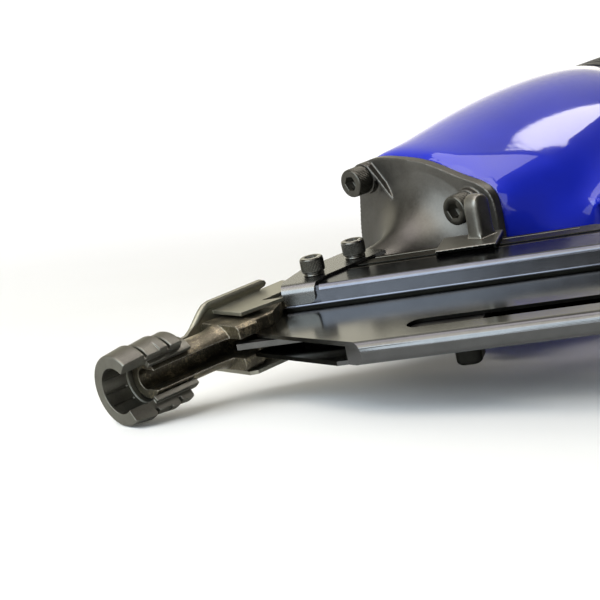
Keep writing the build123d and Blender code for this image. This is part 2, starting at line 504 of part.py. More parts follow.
node("valve_stem", stem)
node("valve_spring", along_x(helix_spring(2.7, 0.35, 0, 13.6, 6), 260.1, STEM_Y, 0))

# --------------------------------------------------------------- handle pieces
grip = Part(Solid.make_loft([hsection(72, 46.2, 40.8), hsection(80, 46.6, 41.0), hsection(130, 45.8, 39.8), hsection(136, 45.4, 39.4)]).wrapped) - handle
grip = max(grip.solids(), key=lambda s: s.volume)
node("handle_grip", grip)
node("handle_gasket", on_handle(extrude(hplane(0).location.inverse() * Face(hsection(0, 45, 40)), 1.0, dir=(0, 0, 1)) - Cylinder(5.6, 10), HLEN))
hcap = on_handle(extrude(hplane(0).location.inverse() * Face(hsection(0, 46.5, 41.5)), 11.0, dir=(0, 0, 1)), HLEN + 1.0)
hcap -= on_handle(Cylinder(6.6, 60), HLEN)
for px in (16.5, -16.5):
    for py in (12.5, -12.5):
        hcap -= on_handle(Pos(px, py, 7 + 10) * Cylinder(4.4, 20), HLEN + 1.0)
        hcap -= on_handle(Pos(px, py, 0) * Cylinder(2.52, 60), HLEN + 1.0)
        NODES["housing"] -= on_handle(Pos(px, py, 0) * Cylinder(2.52, 24), HLEN + 1.0)
        NODES["handle_gasket"] -= on_handle(Pos(px, py, 0) * Cylinder(2.6, 24), HLEN + 1.0)
node("handle_end_cap", hcap)
ecs = []
for px in (16.5, -16.5):
    for py in (12.5, -12.5):
        ecs.append(on_handle(Pos(px, py, 7) * cap_screw(4.2, 4.4, 2.5, 18.0, 4.0), HLEN + 1.0))
node("end_cap_screws", group(ecs))
plug = Pos(0, 0, -10.5) * extrude(Circle(6.6), 10.5)
plug += hex_prism(8.5, 9.0)
plug += Pos(0, 0, 9.0) * extrude(Circle(7.4), 3.0)
plug += Pos(0, 0, 12.0) * extrude(Circle(5.95), 12.0)
plug += Pos(0, 0, 24.0) * extrude(Circle(4.4), 3.0)
tipc = Pos(0, 0, 27.0) * extrude(Circle(5.95), 5.0)
plug += chamfer(tipc.edges().sort_by(Axis.Z)[-1], 1.2)
plug -= Pos(0, 0, 10) * Cylinder(3.1, 70)
node("air_plug", on_handle(plug, HLEN + 12.0))

# rear magazine bracket, its bolt and nut
br = mag(bx(300, 326, RAIL_S1, 124, -12, 12)) + mag(bx(302, 324, RAIL_S1, 92.5, -15.8, 15.8))
for z in (1, -1):
    e = bx(302, 324, 74.5, 92.5, min(z * RAIL_Z, z * 15.8), max(z * RAIL_Z, z * 15.8))
    br += mag(fillet(e.edges().filter_by(Axis.Z).sort_by(Axis.Y)[:2], 6.0))
br -= mag(cz(3.05, -30, 30, 313, 83.5))
br -= handle
br = max(br.solids(), key=lambda s: s.volume)
node("rear_bracket", br)
node("bracket_bolt", mag(Pos(313, 83.5, 15.8) * cap_screw(5.0, 6.0, 3.0, 36.5, 5.0)))
node("bracket_nut", mag(Pos(313, 83.5, -20.8) * (hex_prism(5.0, 5.0) - Cylinder(3.0, 30))))

# rafter hook, a bent round rod that swivels in the handle
hk0 = Vector(hp.X, hp.Y, -9.6)
hk1 = Vector(hp.X, hp.Y, HOOK_Z)
hk2 = hk1 + HOOK_LEG * 84
hk3 = hk2 + Vector(0, 0, 11) + HOOK_LEG * 6
path = FilletPolyline(hk0, hk1, hk2, hk3, radius=7.0)
rod = sweep(Plane(origin=hk0, z_dir=(0, 0, -1)) * Circle(HOOK_R), path=path)
rod += cz(6.5, -25.5, -22.2, hp.X, hp.Y)
node("rafter_hook", rod)

# ------------------------------------------------------------------- write out
up = Vector(*LAY_UP).normalized()
xrow = (Vector(1, 0, 0) - up * up.X).normalized()
LAY = Plane(origin=LAY_ORIGIN, x_dir=xrow, z_dir=up)
os.makedirs("parts", exist_ok=True)
for name, shape in NODES.items():
    laid = LAY.location.inverse() * shape
    export_step(laid, "parts/" + name + ".step")
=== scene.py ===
import json
import math
import bmesh
import bpy
import numpy as np
from mathutils import Matrix, Vector
from mathutils.bvhtree import BVHTree

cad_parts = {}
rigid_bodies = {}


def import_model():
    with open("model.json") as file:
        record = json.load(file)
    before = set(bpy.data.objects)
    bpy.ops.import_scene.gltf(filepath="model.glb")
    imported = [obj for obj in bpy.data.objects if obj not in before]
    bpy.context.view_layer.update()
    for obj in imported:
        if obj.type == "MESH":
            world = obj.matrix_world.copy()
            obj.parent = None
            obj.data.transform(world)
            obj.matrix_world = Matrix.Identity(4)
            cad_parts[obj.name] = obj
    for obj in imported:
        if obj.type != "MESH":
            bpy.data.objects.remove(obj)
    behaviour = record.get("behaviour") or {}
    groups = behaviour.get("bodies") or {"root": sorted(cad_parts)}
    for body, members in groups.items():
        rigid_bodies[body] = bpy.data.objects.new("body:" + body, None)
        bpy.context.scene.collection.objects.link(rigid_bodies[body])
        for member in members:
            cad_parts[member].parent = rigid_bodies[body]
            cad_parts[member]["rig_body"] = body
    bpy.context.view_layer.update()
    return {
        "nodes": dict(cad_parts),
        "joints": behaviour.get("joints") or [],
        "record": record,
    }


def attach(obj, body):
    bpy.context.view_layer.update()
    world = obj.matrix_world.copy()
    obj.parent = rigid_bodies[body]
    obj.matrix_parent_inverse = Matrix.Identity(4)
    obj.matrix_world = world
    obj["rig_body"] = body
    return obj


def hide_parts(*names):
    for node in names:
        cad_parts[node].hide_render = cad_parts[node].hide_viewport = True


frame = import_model()
NODES = frame["nodes"]

# ---------------------------------------------------------------- shared frame
# Working frame of the tool in mm: x along the driver axis from the nose, handle and magazine on -y,
# z across the tool. TM takes it to the row frame in metres, where the tool lies on its side.
REC = frame["record"]
JOINT = {j["name"]: j for j in frame["joints"]}
MOUNT = {m["name"]: m for m in REC["mounts"]}
SLOT = {s["node"]: s["material_slot"] for s in REC["subparts"]}
EX = Vector(JOINT["contact_slide"]["axis"]).normalized()
EZ = Vector(JOINT["hook_swivel"]["axis"]).normalized()
EY = EZ.cross(EX).normalized()
ROT = Matrix((EX, EY, EZ)).transposed()
TM = Matrix.Translation(Vector(MOUNT["work_contact"]["pos_m"])) @ ROT.to_4x4() @ Matrix.Scale(0.001, 4)


def to_row(p):
    return TM @ Vector(p)


def row_dir(d):
    return (ROT @ Vector(d)).normalized()


def link(obj):
    bpy.context.scene.collection.objects.link(obj)
    return obj


# ---------------------------------------------------------------- node helpers
class Tree:
    """small helper to write a node material"""

    def __init__(self, name):
        self.mat = bpy.data.materials.new(name)
        self.mat.use_nodes = True
        self.n = self.mat.node_tree.nodes
        self.l = self.mat.node_tree.links
        self.bsdf = self.n["Principled BSDF"]
        tc = self.n.new("ShaderNodeTexCoord")
        self.obj = tc.outputs["Object"]

    def set(self, **kw):
        for k, v in kw.items():
            self.bsdf.inputs[k.replace("_", " ")].default_value = v
        return self

    def put(self, node_type, **kw):
        node = self.n.new(node_type)
        for k, v in kw.items():
            setattr(node, k, v)
        return node

    def mapped(self, scale=(1, 1, 1), rot=(0, 0, 0)):
        m = self.put("ShaderNodeMapping")
        m.inputs["Scale"].default_value = scale
        m.inputs["Rotation"].default_value = rot
        self.l.new(self.obj, m.inputs["Vector"])
        return m.outputs["Vector"]

    def noise(self, scale, detail=3.0, rough=0.5, vec=None, dist=0.0):
        t = self.put("ShaderNodeTexNoise")
        t.inputs["Scale"].default_value = scale
        t.inputs["Detail"].default_value = detail
        t.inputs["Roughness"].default_value = rough
        t.inputs["Distortion"].default_value = dist
        self.l.new(vec or self.obj, t.inputs["Vector"])
        return t.outputs["Fac"]

    def voronoi(self, scale, feature="F1", vec=None):
        t = self.put("ShaderNodeTexVoronoi", feature=feature)
        t.inputs["Scale"].default_value = scale
        self.l.new(vec or self.obj, t.inputs["Vector"])
        return t.outputs["Distance"]

    def ramp(self, fac, stops):
        r = self.put("ShaderNodeValToRGB")
        e = r.color_ramp.elements
        while len(e) < len(stops):
            e.new(0.5)
        for el, (p, c) in zip(e, stops):
            el.position = p
            el.color = (*c, 1) if len(c) == 3 else c
        self.l.new(fac, r.inputs["Fac"])
        return r.outputs["Color"]

    def range(self, fac, a, b, lo, hi):
        m = self.put("ShaderNodeMapRange", clamp=True)
        for k, v in zip(("From Min", "From Max", "To Min", "To Max"), (a, b, lo, hi)):
            m.inputs[k].default_value = v
        self.l.new(fac, m.inputs["Value"])
        return m.outputs["Result"]

    def math(self, op, a, b=None, clamp=False):
        m = self.put("ShaderNodeMath", operation=op, use_clamp=clamp)
        for i, v in enumerate((a, b)):
            if v is None:
                continue
            if isinstance(v, (int, float)):
                m.inputs[i].default_value = v
            else:
                self.l.new(v, m.inputs[i])
        return m.outputs["Value"]

    def mix(self, fac, a, b, blend="MIX"):
        m = self.put("ShaderNodeMix", data_type="RGBA", blend_type=blend)
        for sock, v in (("Factor", fac), ("A", a), ("B", b)):
            s = [i for i in m.inputs if i.name == sock and (i.type == "RGBA" or (sock == "Factor" and i.type == "VALUE"))][0]
            if isinstance(v, (int, float)):
                s.default_value = v
            elif isinstance(v, tuple):
                s.default_value = (*v, 1)
            else:
                self.l.new(v, s)
        return [o for o in m.outputs if o.type == "RGBA"][0]

    def edge(self, radius, lo=0.02, hi=0.25):
        """mask of edges, from the turn of the rounded normal"""
        b = self.put("ShaderNodeBevel", samples=6)
        b.inputs["Radius"].default_value = radius
        g = self.put("ShaderNodeNewGeometry")
        d = self.put("ShaderNodeVectorMath", operation="DOT_PRODUCT")
        self.l.new(b.outputs["Normal"], d.inputs[0])
        self.l.new(g.outputs["Normal"], d.inputs[1])
        one = self.math("SUBTRACT", 1.0, d.outputs["Value"], clamp=True)
        return self.range(one, lo, hi, 0.0, 1.0)

    def bump(self, height, strength, distance, prev=None):
        b = self.put("ShaderNodeBump")
        b.inputs["Strength"].default_value = strength
        b.inputs["Distance"].default_value = distance
        self.l.new(height, b.inputs["Height"])
        if prev is not None:
            self.l.new(prev, b.inputs["Normal"])
        return b.outputs["Normal"]

    def to(self, sock, out):
        self.l.new(out, self.bsdf.inputs[sock])
        return self


def metal(name, dark, light, rough, scale=120.0, fine=1500.0, bump=0.12, wear=None, wear_r=0.0006, wear_amt=0.7, metallic=1.0, streak=None, graze=0.5):
    """satin metal: cloudy tint, fine grain, uneven gloss, edges rubbed bright"""
    t = Tree(name)
    cloud = t.noise(scale, 5.0, 0.6)
    grain = t.noise(fine, 3.0, 0.6)
    both = t.math("ADD", t.math("MULTIPLY", cloud, 0.65), t.math("MULTIPLY", grain, 0.35))
    col = t.ramp(both, [(0.30, dark), (0.70, light)])
    if streak:
        s = t.noise(1.0, 2.0, 0.5, vec=t.mapped(scale=streak))
        col = t.mix(t.range(s, 0.3, 0.7, 0.0, 0.35), col, tuple(min(1, c * 1.5) for c in light))
    if wear:
        brk = t.range(t.noise(900.0, 4.0, 0.7), 0.35, 0.62, 0.15, 1.0)
        mask = t.math("MULTIPLY", t.math("MULTIPLY", t.edge(wear_r), brk), wear_amt)
        col = t.mix(mask, col, wear)
    t.to("Base Color", col)
    t.set(Metallic=metallic, Specular_Tint=(graze, graze, graze * 0.96, 1))
    t.to("Roughness", t.range(t.math("ADD", t.math("MULTIPLY", cloud, 0.5), t.math("MULTIPLY", grain, 0.5)), 0.3, 0.7, rough[0], rough[1]))
    t.to("Normal", t.bump(t.math("ADD", grain, t.noise(fine * 2.7, 2.0, 0.5)), bump, 0.00006))
    return t.mat


# ------------------------------------------------------------------- materials
M = {}
M["gunmetal"] = metal("gunmetal", (0.110, 0.106, 0.090), (0.185, 0.180, 0.154), (0.36, 0.48), bump=0.08, wear=(0.42, 0.41, 0.38), wear_amt=0.5, wear_r=0.0005, graze=0.6)
M["olive"] = metal("olive_steel", (0.205, 0.199, 0.158), (0.290, 0.282, 0.228), (0.38, 0.50), bump=0.06, wear=(0.40, 0.38, 0.33), wear_amt=0.4, graze=0.95)
M["cover"] = metal("cover_steel", (0.104, 0.105, 0.104), (0.136, 0.137, 0.134), (0.24, 0.30), bump=0.03, wear=(0.40, 0.39, 0.36), wear_amt=0.3, graze=0.85)
M["flange"] = metal("cast_flange", (0.062, 0.059, 0.053), (0.105, 0.100, 0.089), (0.36, 0.48), scale=70.0, fine=900.0, bump=0.14, wear=(0.32, 0.30, 0.26), wear_amt=0.35, wear_r=0.0009, graze=0.85)
M["rail"] = metal("rail_anodised", (0.074, 0.078, 0.092), (0.102, 0.107, 0.125), (0.15, 0.21), bump=0.03, wear=(0.42, 0.42, 0.44), wear_amt=0.2, graze=0.64)
# the dark spine finish is also used as painted shade on the guide top under the cover
M["spine"] = metal("spine_anodised_and_painted_shade", (0.050, 0.048, 0.040), (0.085, 0.081, 0.070), (0.26, 0.36), bump=0.05, wear=(0.30, 0.28, 0.25), wear_amt=0.15, graze=0.62)
M["blade"] = metal("blade_sheet", (0.076, 0.077, 0.077), (0.102, 0.103, 0.103), (0.13, 0.19), bump=0.03, wear=(0.40, 0.40, 0.39), wear_amt=0.2, graze=1.0)
M["screw"] = metal("black_oxide", (0.078, 0.076, 0.067), (0.108, 0.105, 0.094), (0.20, 0.28), bump=0.04, graze=0.95)
M["bolt"] = metal("black_bolt", (0.050, 0.048, 0.041), (0.082, 0.079, 0.068), (0.26, 0.38), bump=0.05, wear=(0.28, 0.26, 0.22), wear_amt=0.2, wear_r=0.0003, graze=0.9)
# the near-black knob finish also serves as the painted shade colour that blacken puts on slots, gaps and recesses
M["knob"] = metal("black_knob_and_painted_shade", (0.008, 0.008, 0.007), (0.016, 0.016, 0.014), (0.30, 0.42), graze=0.5)
M["bracket"] = metal("brown_oxide", (0.135, 0.130, 0.115), (0.200, 0.193, 0.172), (0.32, 0.44), bump=0.06, wear=(0.34, 0.33, 0.31), wear_amt=0.4, graze=0.9)
M["bright"] = metal("bright_steel", (0.090, 0.089, 0.085), (0.150, 0.148, 0.140), (0.26, 0.40), bump=0.06, graze=0.6)
M["spring"] = metal("spring_steel", (0.20, 0.19, 0.18), (0.36, 0.35, 0.33), (0.25, 0.4))
M["zinc"] = metal("zinc_steel", (0.30, 0.30, 0.28), (0.46, 0.46, 0.43), (0.28, 0.42))
M["alu"] = metal("machined_aluminium", (0.50, 0.50, 0.51), (0.68, 0.68, 0.69), (0.25, 0.38))
M["black_cast"] = metal("black_casting", (0.016, 0.016, 0.017), (0.038, 0.038, 0.040), (0.34, 0.5), scale=90.0, fine=700.0, bump=0.3, wear=(0.20, 0.20, 0.20), wear_amt=0.3, metallic=0.6)


def cast_steel():
    t = Tree("cast_steel")
    cloud = t.noise(140.0, 5.0, 0.6)
    grit = t.noise(1150.0, 4.0, 0.7)
    col = t.ramp(t.math("ADD", t.math("MULTIPLY", cloud, 0.55), t.math("MULTIPLY", grit, 0.45)),
                 [(0.34, (0.070, 0.062, 0.045)), (0.52, (0.130, 0.116, 0.086)), (0.66, (0.44, 0.375, 0.25))])
    brk = t.range(t.noise(700.0, 4.0, 0.7), 0.35, 0.6, 0.2, 1.0)
    col = t.mix(t.math("MULTIPLY", t.math("MULTIPLY", t.edge(0.0009), brk), 0.95), col, (0.72, 0.68, 0.60))
    t.to("Base Color", col).set(Metallic=1.0, Specular_Tint=(0.85, 0.84, 0.80, 1))
    t.to("Roughness", t.range(grit, 0.3, 0.7, 0.28, 0.50))
    t.to("Normal", t.bump(grit, 0.75, 0.00018, t.bump(t.noise(420.0, 3.0, 0.6), 0.4, 0.0003)))
    return t.mat


def paint():
    t = Tree("blue_paint")
    cloud = t.noise(26.0, 3.0, 0.5)
    col = t.ramp(cloud, [(0.3, (0.006, 0.014, 0.31)), (0.7, (0.009, 0.019, 0.39))])
    t.to("Base Color", col)
    t.set(Metallic=0.0, Coat_Weight=1.0, Coat_Roughness=0.06, IOR=1.5, Coat_IOR=1.5, Specular_IOR_Level=0.05)
    t.to("Roughness", t.range(t.noise(300.0, 3.0, 0.6), 0.3, 0.7, 0.3, 0.4))
    peel = t.bump(t.noise(330.0, 2.0, 0.4), 0.03, 0.0004)
    t.to("Normal", peel)
    t.to("Coat Normal", peel)
    return t.mat


def rubber(name="black_rubber", base=(0.012, 0.012, 0.012), hi=(0.03, 0.03, 0.03)):
    t = Tree(name)
    g = t.noise(900.0, 4.0, 0.6)
    t.to("Base Color", t.ramp(t.noise(60.0, 4.0, 0.6), [(0.3, base), (0.7, hi)]))
    t.to("Roughness", t.range(g, 0.3, 0.7, 0.5, 0.7))
    t.to("Normal", t.bump(g, 0.3, 0.00012))
    return t.mat


M["cast_steel"] = cast_steel()
M["paint"] = paint()
M["rubber"] = rubber()
M["plastic"] = rubber("black_plastic", (0.014, 0.014, 0.015), (0.028, 0.028, 0.03))

SLOT_MAT = {"blue_paint": "paint", "black_casting": "black_cast", "grey_casting": "flange", "gunmetal": "gunmetal", "bronze_steel": "olive",
            "cast_steel": "cast_steel", "black_anodised": "rail", "blade_sheet": "blade", "black_oxide": "screw", "brown_oxide": "bracket",
            "bright_steel": "bright", "spring_steel": "spring", "zinc_steel": "zinc", "machined_aluminium": "alu", "black_rubber": "rubber", "black_plastic": "plastic"}
OWN_MAT = {"feed_cover": "cover", "magazine_spine": "spine", "nose_bolts": "bolt", "pusher_knob": "knob", "feed_cover_washers": "screw"}


def mat_of(node):
    return M[OWN_MAT.get(node, SLOT_MAT[SLOT[node]])]


for node, o in NODES.items():
    o.data.materials.clear()
    o.data.materials.append(mat_of(node))

# --------------------------------------------------------------- refined pieces


def plain(me):
    """take imported normals and sharp marks off a mesh and shade it smooth"""
    for name in ("custom_normal", "sharp_edge", "sharp_face"):
        at = me.attributes.get(name)
        if at:
            me.attributes.remove(at)
    me.polygons.foreach_set("use_smooth", np.ones(len(me.polygons), bool))
    me.update()
    return me


def welded(node, dissolve=None):
    """mesh of a node with its seams welded"""
    bm = bmesh.new()
    bm.from_mesh(NODES[node].data)
    bmesh.ops.remove_doubles(bm, verts=bm.verts, dist=3e-6)
    bmesh.ops.dissolve_degenerate(bm, dist=2e-6, edges=bm.edges)
    if dissolve:
        bmesh.ops.dissolve_limit(bm, angle_limit=math.radians(dissolve), verts=bm.verts, edges=bm.edges, use_dissolve_boundaries=False, delimit=set())
    me = bpy.data.meshes.new(node + "_mesh")
    bm.to_mesh(me)
    bm.free()
    return plain(me)


def baked(o):
    """mesh of an object with its modifiers applied"""
    bpy.context.view_layer.update()
    dg = bpy.context.evaluated_depsgraph_get()
    me = bpy.data.meshes.new_from_object(o.evaluated_get(dg), preserve_all_data_layers=True, depsgraph=dg)
    old = o.data
    bpy.data.objects.remove(o)
    bpy.data.meshes.remove(old)
    return me


def stands_for(node, me, suffix, mat=None):
    """new piece in place of a node, on the same body and with the same slot"""
    o = link(bpy.data.objects.new(node + suffix, me))
    me.materials.clear()
    me.materials.append(mat or mat_of(node))
    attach(o, NODES[node]["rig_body"])
    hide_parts(node)
    return o


def crisp(node, width=0.3, seg=2, angle=34.0, mat=None, shape=None):
    """machined or sheet piece: every sharp edge gets a small rounding"""
    me = welded(node, 0.4)
    if shape:
        shape(me)
    o = link(bpy.data.objects.new(node + "_work", me))
    b = o.modifiers.new("edge", "BEVEL")
    b.width, b.segments, b.limit_method, b.angle_limit = width * 1e-3, seg, "ANGLE", math.radians(angle)
    b.use_clamp_overlap, b.miter_outer, b.loop_slide = True, "MITER_ARC", True
    w = o.modifiers.new("normals", "WEIGHTED_NORMAL")
    w.keep_sharp, w.weight = False, 50
    return stands_for(node, baked(o), "_crisp", mat)


def cast(node, voxel, smooth=5, faces=None, mat=None):
    """casting: all corners run into each other with soft roundings"""
    o = link(bpy.data.objects.new(node + "_work", welded(node)))
    r = o.modifiers.new("skin", "REMESH")
    r.mode, r.voxel_size, r.use_smooth_shade = "VOXEL", voxel * 1e-3, True
    s = o.modifiers.new("soft", "SMOOTH")
    s.factor, s.iterations = 0.5, smooth
    me = baked(o)
    o = link(bpy.data.objects.new(node + "_work2", me))
    if faces:
        d = o.modifiers.new("fewer", "DECIMATE")
        d.ratio = min(1.0, faces / max(1, 2 * len(me.polygons)))
    w = o.modifiers.new("normals", "WEIGHTED_NORMAL")
    w.keep_sharp, w.weight = False, 50
    return stands_for(node, baked(o), "_cast", mat)


def spun(rings, count):
    """closed mesh from rings of (z, radius of angle); ends run to the axis"""
    bm = bmesh.new()
    rows = []
    for z, rad in rings:
        if rad is None:
            rows.append([bm.verts.new((0, 0, z))])
            continue
        row = []
        for i in range(count):
            th = 2 * math.pi * i / count
            r = rad(i, th) if callable(rad) else rad
            row.append(bm.verts.new((r * math.cos(th), r * math.sin(th), z)))
        rows.append(row)
    for lo, hi in zip(rows, rows[1:]):
        for i in range(count):
            j = (i + 1) % count
            if len(lo) == 1:
                bm.faces.new((lo[0], hi[j], hi[i]))
            elif len(hi) == 1:
                bm.faces.new((lo[i], lo[j], hi[0]))
            else:
                bm.faces.new((lo[i], lo[j], hi[j], hi[i]))
    return bm


def cap_screw(r, h, shank, length, af, teeth=48):
    """socket-head cap screw with a straight knurl and a hexagon socket, seat at z = 0"""
    n = teeth * 4
    knurl = lambda i, th: r - (0.0, 0.10, 0.24, 0.10)[i % 4]
    hexa = lambda k: (lambda i, th: k * (af / 2) / math.cos((th + math.pi / 6) % (math.pi / 3) - math.pi / 6))
    rings = [(-length, None), (-length, shank - 0.5), (-length + 0.5, shank), (-0.05, shank), (0.0, shank + 0.05), (0.0, r - 0.35), (0.08, r - 0.15), (0.3, r - 0.06), (0.55, r - 0.06),
             (0.75, knurl), (h - 1.15, knurl), (h - 0.95, r - 0.06), (h - 0.62, r - 0.06), (h - 0.34, r - 0.16), (h - 0.10, r - 0.42), (h - 0.02, r - 0.60), (h, r - 0.80),
             (h, hexa(1.10)), (h - 0.06, hexa(1.06)), (h - 0.26, hexa(1.0)), (h * 0.45, hexa(1.0)), (h * 0.45 - 0.05, hexa(0.96)), (h * 0.45 - 0.9, None)]
    return spun(rings, n)


def screws(node, spots, dims, teeth=48, mat=None):
    """several cap screws of one node; a spot is (seat in the working frame, direction of the head)"""
    whole = bmesh.new()
    for seat, head in spots:
        bm = cap_screw(*dims, teeth=teeth)
        turn = Vector((0, 0, 1)).rotation_difference(Vector(head)).to_matrix().to_4x4()
        bmesh.ops.transform(bm, matrix=TM @ Matrix.Translation(Vector(seat)) @ turn, verts=bm.verts)
        tmp = bpy.data.meshes.new("tmp")
        bm.to_mesh(tmp)
        bm.free()
        whole.from_mesh(tmp)
        bpy.data.meshes.remove(tmp)
    bmesh.ops.recalc_face_normals(whole, faces=whole.faces)
    me = bpy.data.meshes.new(node + "_mesh")
    whole.to_mesh(me)
    whole.free()
    plain(me)
    o = link(bpy.data.objects.new(node + "_work", me))
    w = o.modifiers.new("normals", "WEIGHTED_NORMAL")
    w.keep_sharp, w.weight = False, 50
    return stands_for(node, baked(o), "_knurled", mat)


SCREW_Z = 14.2 + 1.6
screws("feed_cover_screws", [((104.1, -5.2, SCREW_Z), (0, 0, 1)), ((128.2, -5.2, SCREW_Z), (0, 0, 1))], (5.0, 6.0, 2.98, 10.0, 5.0), 48)
screws("nose_bolts", [((173.3, y, z), (-1, 0, 0)) for y, z in ((30.5, 36.0), (30.5, -36.0), (-31.0, 23.8), (-31.0, -23.8))], (6.5, 8.0, 4.0, 24.0, 6.0), 54)
screws("cap_screws", [((326, 50.5 * math.cos(math.radians(45 + 90 * i)), 50.5 * math.sin(math.radians(45 + 90 * i))), (1, 0, 0)) for i in range(4)], (5.0, 6.0, 3.0, 34.0, 5.0), 36)

# handle axis and outlines, as in the housing
H0, H1 = Vector((256.0, -45.0, 0.0)), Vector((298.0, -290.0, 0.0))
HD = (H1 - H0).normalized()
HX = Vector((-HD.y, HD.x, 0.0))


def outline(d, depth, width, count=96, n=2.6):
    """rounded-box outline across the handle, in the working frame"""
    pts = []
    for i in range(count):
        a = 2 * math.pi * i / count
        c, q = math.cos(a), math.sin(a)
        u = depth / 2 * math.copysign(abs(c) ** (2 / n), c)
        v = width / 2 * math.copysign(abs(q) ** (2 / n), q)
        pts.append(H0 + HD * d + HX * u + Vector((0, 0, v)))
    return pts


def ribbed_grip(node):
    """rubber sleeve with raised ribs around it"""
    at = lambda d, tab: (np.interp(d, [r[0] for r in tab], [r[1] for r in tab]), np.interp(d, [r[0] for r in tab], [r[2] for r in tab]))
    outer = [(72, 46.2, 40.8), (80, 46.6, 41.0), (130, 45.8, 39.8), (136, 45.4, 39.4)]
    inner = [(72, 42.9, 37.4), (75, 42.5, 37.0), (136, 41.5, 35.5)]
    rows = []
    ds = np.linspace(72.0, 136.0, 193)
    for d in ds:
        a, b = at(d, outer)
        end = max(0.0, 1.0 - min(d - 72.0, 136.0 - d) / 0.9)
        ph = ((d - 77.0) / 5.0) % 1.0
        cut = 0.0 if d < 77.0 or d > 132.0 else max(0.0, min(1.0, (0.20 - abs(ph - 0.5)) / 0.08))
        k = 2.0 * (0.55 * end * end + 0.75 * cut)
        rows.append(outline(d, a - k, b - k))
    for d in ds[::-1][::24]:
        a, b = at(d, inner)
        rows.append(outline(d, a, b))
    bm = bmesh.new()
    grid = [[bm.verts.new(to_row(p)) for p in r] for r in rows]
    m = len(grid[0])
    for a, b in zip(grid, grid[1:] + grid[:1]):
        for i in range(m):
            bm.faces.new((a[i], a[(i + 1) % m], b[(i + 1) % m], b[i]))
    bmesh.ops.recalc_face_normals(bm, faces=bm.faces)
    me = bpy.data.meshes.new(node + "_mesh")
    bm.to_mesh(me)
    bm.free()
    plain(me)
    return stands_for(node, me, "_ribbed")


def even_normals(o, keep, rounds, turn=None):
    """average the normals of the chosen vertices with their neighbours, so that gloss runs over them without ripples"""
    me = o.data
    n = len(me.vertices)
    co = np.empty(n * 3)
    me.vertices.foreach_get("co", co)
    nv = np.empty(n * 3, dtype=np.float32)
    me.vertex_normals.foreach_get("vector", nv)
    co, nv = co.reshape(-1, 3), nv.reshape(-1, 3).astype(float)
    ed = np.empty(len(me.edges) * 2, dtype=np.int32)
    me.edges.foreach_get("vertices", ed)
    ed = ed.reshape(-1, 2)
    inv = np.array(TM.inverted())
    wk = co @ inv[:3, :3].T + inv[:3, 3]
    nt = nv @ np.array(ROT)
    w = keep(wk, nt)[:, None]
    deg = np.bincount(ed.ravel(), minlength=n)[:, None].clip(1)
    for _ in range(rounds):
        acc = np.empty_like(nv)
        for k in range(3):
            acc[:, k] = np.bincount(ed[:, 0], nv[ed[:, 1], k], n) + np.bincount(ed[:, 1], nv[ed[:, 0], k], n)
        new = acc / deg
        new /= np.linalg.norm(new, axis=1, keepdims=True).clip(1e-9)
        nv = nv + (new - nv) * 0.8 * w
    if turn:
        nv = nv + turn(wk) @ np.array(ROT).T * w
    nv /= np.linalg.norm(nv, axis=1, keepdims=True).clip(1e-9)
    me.normals_split_custom_set_from_vertices([tuple(v) for v in nv])


def body_zone(p, n):
    """outer skin of the cylinder housing between the flange and the cap, in the working frame"""
    x, y, z = p[:, 0], p[:, 1], p[:, 2]
    rad = np.hypot(y, z).clip(1.0)
    out = (n[:, 1] * y + n[:, 2] * z) / rad
    ok = (x > 182.5) & (x < 302.0) & (out > 0.35) & (y > -66.0) & (rad > 36.0)
    return np.where(ok, 1.0, 0.0)


def shoulder(p):
    """shallow hollow of the skin behind the flange, as a turn of its normals towards the nose"""
    x, y, z = p[:, 0], p[:, 1], p[:, 2]
    soft = lambda v: v.clip(0.0, 1.0) ** 2 * (3 - 2 * v.clip(0.0, 1.0))
    edge = np.where(y < -15.0, 190.0 + (-15.0 - y) * 0.8, 190.0 - (y + 15.0) * 0.4)
    low = -40.0 - (x - 188.0) * 0.3
    g = soft((edge - x) / 6.0 + 0.5) * soft((y - low) / 5.0 + 0.5) * soft((z - 18.0) / 8.0)
    return np.stack([-0.25 * g, 0.0 * g, 0.0 * g], 1)


COS, SIN = math.cos(math.radians(56.0)), math.sin(math.radians(56.0))


def strip_coords(v):
    """t along the strip, s across it and z, from a point in the row frame"""
    q = TM.inverted() @ Vector(v)
    return COS * q.x - SIN * q.y, SIN * q.x + COS * q.y, q.z


def strip_point(t, q, z):
    return to_row((COS * t + SIN * q, -SIN * t + COS * q, z))


def full_lip(me, lip=7.7, top=3.8, r0=2.4, r1=4.0):
    """wider and finer rounding along the upper edge of the blade lip"""
    def angle(v):
        t, q, z = strip_coords(v.co)
        if q < lip + r0 + 0.02 and z > top - r0 - 0.02 and abs(math.hypot(lip + r0 - q, z - (top - r0)) - r0) < 0.05:
            return math.atan2(z - (top - r0), lip + r0 - q)
        return None
    bm = bmesh.new()
    bm.from_mesh(me)
    on = {v: angle(v) for v in bm.verts}
    steps = [e for e in bm.edges if all(on[v] is not None for v in e.verts) and abs(on[e.verts[0]] - on[e.verts[1]]) > 0.02]
    bmesh.ops.subdivide_edges(bm, edges=steps, cuts=3, use_grid_fill=False)
    for v in bm.verts:
        t, q, z = strip_coords(v.co)
        d = math.hypot(lip + r0 - q, z - (top - r0))
        if q < lip + r0 + 0.02 and z > top - r0 - 0.02 and r0 - 0.25 < d < r0 + 0.05:
            a = math.atan2(z - (top - r0), lip + r0 - q)
            v.co = strip_point(t, lip + r1 - r1 * math.cos(a), top - r1 + r1 * math.sin(a))
    bm.to_mesh(me)
    bm.free()
    plain(me)


